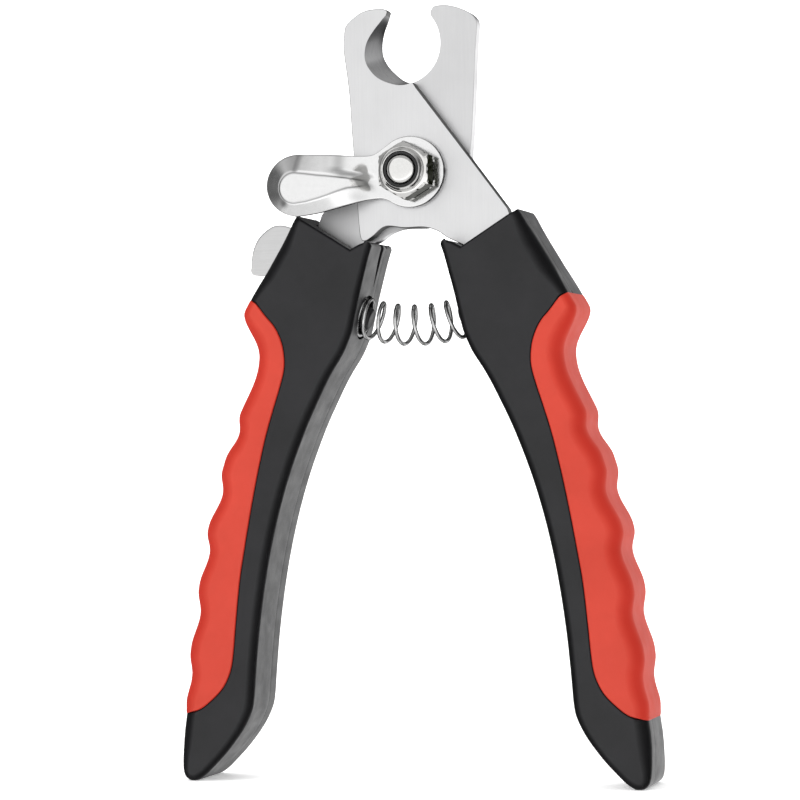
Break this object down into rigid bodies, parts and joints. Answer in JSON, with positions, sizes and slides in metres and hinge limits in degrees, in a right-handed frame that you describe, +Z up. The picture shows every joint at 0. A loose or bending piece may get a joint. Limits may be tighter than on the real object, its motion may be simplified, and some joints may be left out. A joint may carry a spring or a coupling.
{
  "type": "pet nail trimmer",
  "caption": "Pliers-type pet nail trimmer with half-moon notched blades, a return spring, red and black grips, a thumb lock lever and a nail guard.",
  "frame": {"origin": "middle of the open tool's footprint, level with the two handle feet it stands on", "axes": "+Z runs up from the handle feet to the blade tips, +X points to the right half as seen from the nut side, -Y points out of the nut side, and the pivot axis runs along Y at z = 120.1 mm, with the blades' shear plane at y = 0.65 mm"},
  "size_m": [0.0952, 0.02, 0.1532],
  "materials": {
    "black_plastic": "fine satin moulded texture",
    "red_rubber": "soft matte overmould",
    "blade_steel": "brushed stainless steel with ground notch bevels",
    "bright_plating": "bright plated sheet steel",
    "zinc_steel": "bright zinc plated steel",
    "black_nylon": "matte nylon",
    "spring_wire": "drawn spring wire"
  },
  "bodies": {
    "left_half": {"rear_blade": "blade_steel", "left_handle_front_shell": "black_plastic", "left_handle_back_shell": "black_plastic", "left_grip": "red_rubber", "left_tang_pin_upper": "zinc_steel", "left_tang_pin_lower": "zinc_steel", "left_spring_post": "black_plastic", "return_spring": "spring_wire", "pivot_bolt": "zinc_steel", "lock_nut": "zinc_steel", "nut_nylon_insert": "black_nylon", "pivot_washer": "zinc_steel"},
    "right_half": {"front_blade": "blade_steel", "right_handle_front_shell": "black_plastic", "right_handle_back_shell": "black_plastic", "right_grip": "red_rubber", "right_tang_pin_upper": "zinc_steel", "right_tang_pin_lower": "zinc_steel", "right_spring_post": "black_plastic"},
    "lock_lever": {"lock_lever": "bright_plating"},
    "nail_guard": {"nail_guard": "bright_plating"}
  },
  "joints": [
    {"name": "handle_squeeze", "type": "hinge", "parent": "left_half", "child": "right_half", "pos_m": [0, 0.00065, 0.1201], "axis": [0, 1, 0], "range_deg": [0, 28.5], "stiffness_Nm_per_rad": 0.4, "deforming": ["return_spring"]},
    {"name": "lock_lever_swing", "type": "hinge", "parent": "left_half", "child": "lock_lever", "pos_m": [0, 0.00065, 0.1201], "axis": [0, -1, 0], "range_deg": [0, 70]},
    {"name": "nail_guard_swing", "type": "hinge", "parent": "left_half", "child": "nail_guard", "pos_m": [0, 0.00065, 0.1201], "axis": [0, 1, 0], "range_deg": [0, 113]}
  ]
}
